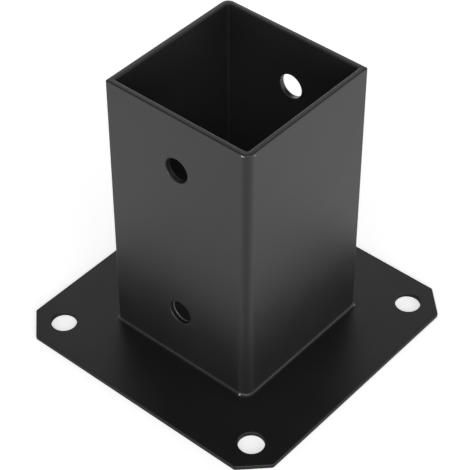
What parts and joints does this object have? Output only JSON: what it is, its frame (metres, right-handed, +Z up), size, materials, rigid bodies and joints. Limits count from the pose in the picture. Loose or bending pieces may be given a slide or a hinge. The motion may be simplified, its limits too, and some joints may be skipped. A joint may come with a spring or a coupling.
{
  "type": "timber post base",
  "caption": "Square welded steel post base: an open-topped sleeve of two bent sheets with screw holes in opposite walls, fillet welded to a thin square base plate with cut corners and anchor holes.",
  "frame": {"origin": "centre of the base plate's underside", "axes": "+Z up along the post, out of the open socket; +Y and -Y through the two walls with the screw holes; X and Y along the plate's sides"},
  "size_m": [0.181, 0.181, 0.178],
  "materials": {
    "powder_coat": "semi-gloss black powder coat on steel"
  },
  "bodies": {
    "root": {"base_plate": "powder_coat", "sleeve_front_half": "powder_coat", "sleeve_back_half": "powder_coat", "left_seam_weld": "powder_coat", "right_seam_weld": "powder_coat", "foot_weld": "powder_coat"}
  },
  "joints": []
}
